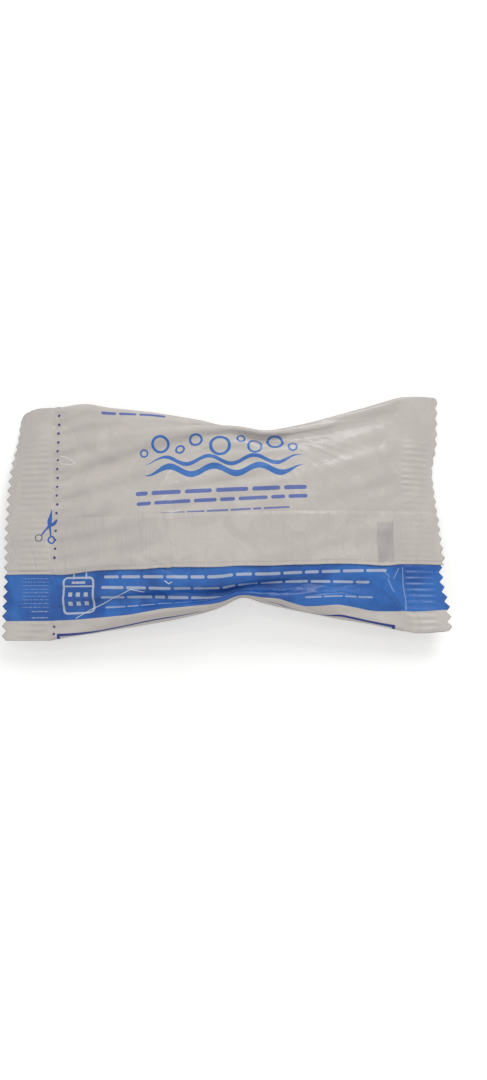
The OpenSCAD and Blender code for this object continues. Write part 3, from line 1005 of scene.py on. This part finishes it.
def stroke(desk, start, end, first, last, edge=inkEdge):
    return desk.shape(inkStroke, Start=(*start, 0), End=(*end, 0), First=first, Last=last, Edge=edge)


def ring(desk, centre, radius, line):
    return desk.shape(inkRing, Centre=(*centre, 0), Radius=radius, Line=line)


def bars(desk, left, right, base, height, bar, seed, rise):
    return desk.shape(inkBars, Left=left, Right=right, Base=base, Rise=rise, Height=height, Bar=bar,
                      Seed=seed)


def lay(desk, colour, ink, key, share=1.0):
    # prints ink of one colour over what is there
    ink = desk.times(ink, share) if share < 1 else ink
    return desk.mix(ink, colour, inks[key])


def drawCreaseHighlightsAndShade(desk):
    # masks of the painted crease highlights and of the painted valley shade
    def strokes(lines, width, edge):
        total = 0.0
        for line in lines:
            for start, end in zip(line[:-1], line[1:]):
                total = desk.larger(stroke(desk, start, end, width, width, edge), total)
        return total

    crease = creaseHighlightsAndShade
    valleyShade = strokes(crease["valleyShade"], crease["valleyShadeWidth"], crease["valleyShadeEdge"])
    faintHighlight = strokes(crease["faintHighlight"], crease["highlightWidth"], crease["faintHighlightEdge"])
    pale = desk.times(faintHighlight, crease["faintHighlightShare"])
    pale = desk.larger(pale, strokes(crease["pale"], crease["highlightWidth"], crease["highlightEdge"]))
    # painted highlight lines along the seal ribs
    for left, right, low, high, pitch, share in crease["ribs"]:
        ribHighlight = desk.shape(ribHighlightLines, Left=left, Right=right, From=low, To=high, Pitch=pitch,
                         Height=crease["ribHighlightLine"])
        pale = desk.larger(pale, desk.times(ribHighlight, share))
    return pale, valleyShade


def drawRule(desk):
    low, high = filmGather["ruleLine"], filmPrint["ruleTo"]
    rule = box(desk, (-0.2, (low + high) / 2), (49.4, (high - low) / 2), 0.0, 0.9)
    return lay(desk, inks["film"], rule, "rule")


def drawScissors(desk, colour, moreDots=()):
    # cutting line and scissors, on the film and on the fin alike
    pitch = filmPrint["dotPitch"]
    dots = desk.shape(inkDots, Line=filmPrint["cutLine"], Lean=-0.012, Pitch=pitch, Radius=0.42,
                      Shift=pitch / 2)
    dots = desk.times(dots, desk.math("LESS_THAN", desk.split(desk.place)[1], filmPrint["dotsTo"]))
    colour = lay(desk, colour, desk.most([dots] + [ring(desk, *dot) for dot in moreDots]), "dots")
    blades = [stroke(desk, *line) for line in filmPrint["scissors"]] + [ring(desk, *filmPrint["blueLoop"])]
    colour = lay(desk, colour, desk.most(blades), "blades")
    return lay(desk, colour, ring(desk, *filmPrint["greyLoop"]), "ring")


def drawFace(desk, cloud):
    low, high = filmPrint["bandFrom"], filmGather["bandEdge"]
    band = box(desk, (0, (low + high) / 2), (90, (high - low) / 2))
    colour = desk.mix(band, drawRule(desk), desk.mix(cloud, inks["band"], inks["bandWorn"]))
    x, y = filmPrint["calendar"]
    sheet = [box(desk, (x, y), (4.6, 5.4), 1.3, 0.62), box(desk, (x, y - 3.9), (2.1, 0.33), 0.1),
             box(desk, (x, y - 2.8), (4.4, 0.22))]
    sheet += [stroke(desk, (x + k, y - 7), (x + k, y - 5.2), 0.55, 0.55) for k in (-1.6, 2.3)]
    sheet += [box(desk, (x + 2.45 * k, y + r), (0.64, 0.64), 0.1) for k in (-1, 0, 1) for r in (-0.3, 2.5)]
    colour = lay(desk, colour, desk.most(sheet), "pale", 0.74)
    for rows, key, share in (("bandRows", "pale", 0.62), ("faintRows", "pale", 0.5),
                             ("faceRows", "bars", 0.9), ("thinRows", "bars", 0.8)):
        colour = lay(desk, colour, desk.most([bars(desk, *row) for row in filmPrint[rows]]), key, share)
    motif = [desk.shape(inkWave, Left=-27.0, Right=26.0, Middle=middle, Swing=1.2, Length=13.0, Width=width,
                        Turn=turn) for middle, width, turn in filmPrint["waves"]]
    motif += [ring(desk, *bubble) for bubble in filmPrint["bubbles"]]
    colour = lay(desk, colour, desk.most(motif), "motif")
    return drawScissors(desk, colour, filmPrint["lowDots"])


def drawBack(desk, cloud):
    # a panel of bars over three plain marks
    ink = [bars(desk, *row) for row in filmPrint["backRows"]]
    for k, x in enumerate(filmPrint["backMarks"]):
        ink += [ring(desk, (x, 72), 7.5, 0.6), bars(desk, x - 9, x + 9, 85, 0.9, 6, 15 + k, 0)]
    ink += [ring(desk, *each) for each in filmPrint["backRings"]]
    ink += [box(desk, (28, 72), (3.6, 4.2), 0.8, 0.7), ring(desk, (28, 73), 2.0, 0.6)]
    return lay(desk, drawRule(desk), desk.most(ink), "bars")


def drawFin(desk, cloud):
    # pale grey register mark, rubbed unevenly
    rub = desk.add("ShaderNodeTexNoise", noise_dimensions="2D")
    desk.put(rub.inputs["Vector"], desk.place)
    rub.inputs["Scale"].default_value = 0.13
    rubbed = desk.ramp(rub.outputs[0], 0.35, 0.65, 0.35, 0.6)
    mark = desk.times(box(desk, (47.5, 8.8), (2.7, 6.2), 0.3), rubbed)
    return drawScissors(desk, lay(desk, inks["film"], mark, "mark"))


# The film's surface; heights in a bump are in millimetres
filmFinish = {
    "mottle": 0.15,
    "crease": 1.0,
    "upright": {"face": 0.25, "back": 0.25, "fin": 1.0},  # fine wrinkles that run across the packet
    "specular": 0.45,
    "coat": 0.2,
    "coatRoughness": 0.1,
}


def filmMaterial(name, part):
    material = bpy.data.materials.new(name)
    material.use_nodes = True
    desk = NodeDesk(material.node_tree)
    shader = material.node_tree.nodes["Principled BSDF"]
    onFilm = desk.add("ShaderNodeUVMap", uv_map="filmPlace")
    desk.place = desk.vector("MULTIPLY", onFilm.outputs[0], (1.0, 1.0, 0.0))
    finish = desk.group(sheetFinish, Place=desk.place, Mottle=filmFinish["mottle"],
                        Crease=filmFinish["crease"], Upright=filmFinish["upright"][part])
    draw = {"face": drawFace, "back": drawBack, "fin": drawFin}[part]
    colour, height = draw(desk, finish.outputs["Cloud"]), finish.outputs["Height"]
    if part == "face":
        pale, valleyShade = drawCreaseHighlightsAndShade(desk)
        # painted shade darkens the crease valleys
        colour = lay(desk, colour, valleyShade, "creaseShade", creaseHighlightsAndShade["valleyShadeShare"])
        # painted highlights lighten the crease ridges and the seal ribs
        colour = lay(desk, colour, pale, "creaseHighlight", creaseHighlightsAndShade["highlightShare"])
        ridges = desk.times(pale, creaseHighlightsAndShade["ridgeHeight"])
        height = desk.plus(height, desk.minus(ridges, desk.times(valleyShade, creaseHighlightsAndShade["valleyDepth"])))
    desk.put(shader.inputs["Base Color"], desk.scaled(colour, finish.outputs["Shade"]))
    desk.put(shader.inputs["Roughness"], finish.outputs["Roughness"])
    shader.inputs["Specular IOR Level"].default_value = filmFinish["specular"]
    shader.inputs["Coat Weight"].default_value = filmFinish["coat"]
    shader.inputs["Coat Roughness"].default_value = filmFinish["coatRoughness"]
    bump = desk.add("ShaderNodeBump")
    bump.inputs["Strength"].default_value = 1.0
    bump.inputs["Distance"].default_value = 0.001
    desk.put(bump.inputs["Height"], height)
    desk.put(shader.inputs["Normal"], bump.outputs[0])
    return material


filmWrap.data.materials.append(filmMaterial("printedFilm", "face"))
filmWrap.data.materials.append(filmMaterial("backFilm", "back"))
finStrip.data.materials.append(filmMaterial("finFilm", "fin"))
for piece in (filmWrap, finStrip):
    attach(piece, "root")
    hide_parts("packet")
print("film printed and finished")


# Pale floor, soft studio light, and the picture's steep view
studio = {
    "floor": (244, 244, 243),
    "floorGlow": 0.3,         # as the camera alone sees it
    "floorHalf": 3.0,
    "worldLight": 0.6,
    # power, size and place of each lamp
    "lamps": {
        "keyLight": (1.8, 0.3, (0.22, 0.48, 0.5)),
        "fillLight": (0.3, 0.6, (-0.45, -0.3, 0.5)),
        "glintLight": (0.12, 0.03, (-0.12, 0.16, 0.6)),
    },
    "tilt": 84.39,            # degrees by which the view looks down
    "distance": 0.3,
    "sensor": 36.0,
    "focal": 1006.2 / 487 * 36,
    "target": (0.00497, -0.00679, 0.0085),
}


def buildStudio():
    half = studio["floorHalf"]
    mesh = bpy.data.meshes.new("studioFloor")
    corners = [(x * half, y * half, -0.0002) for x, y in ((-1, -1), (1, -1), (1, 1), (-1, 1))]
    mesh.from_pydata(corners, [], [(0, 1, 2, 3)])
    addToScene("studioFloor", mesh)
    material = bpy.data.materials.new("paleFloor")
    material.use_nodes = True
    desk = NodeDesk(material.node_tree)
    shader = material.node_tree.nodes["Principled BSDF"]
    shader.inputs["Base Color"].default_value = colourOf(*studio["floor"])
    shader.inputs["Roughness"].default_value = 0.9
    shader.inputs["Specular IOR Level"].default_value = 0.0
    mesh.materials.append(material)
    path = desk.add("ShaderNodeLightPath")
    glow = desk.times(path.outputs["Is Camera Ray"], studio["floorGlow"])
    desk.put(shader.inputs["Emission Strength"], glow)
    shader.inputs["Emission Color"].default_value = (1, 1, 1, 1)
    world = bpy.data.worlds.new("studioWorld")
    world.use_nodes = True
    world.node_tree.nodes["Background"].inputs[0].default_value = (1, 1, 1, 1)
    world.node_tree.nodes["Background"].inputs[1].default_value = studio["worldLight"]
    bpy.context.scene.world = world
    for name, (power, size, at) in studio["lamps"].items():
        light = bpy.data.lights.new(name, "AREA")
        light.energy = power
        light.size = size
        lamp = addToScene(name, light)
        lamp.location = at
        lamp.rotation_euler = (-Vector(at)).to_track_quat("-Z", "Y").to_euler()


def buildCamera():
    tilt = math.radians(studio["tilt"])
    lens = bpy.data.cameras.new("pictureCamera")
    lens.sensor_fit = "HORIZONTAL"
    lens.sensor_width = studio["sensor"]
    lens.lens = studio["focal"]
    lens.clip_start = 0.01
    camera = addToScene("pictureCamera", lens)
    back = Vector((0, -math.cos(tilt), math.sin(tilt)))
    camera.location = Vector(studio["target"]) + back * studio["distance"]
    camera.rotation_euler = (math.pi / 2 - tilt, 0, 0)
    bpy.context.scene.camera = camera


buildStudio()
buildCamera()
bpy.context.scene.view_settings.view_transform = "Standard"
print("studio ready")
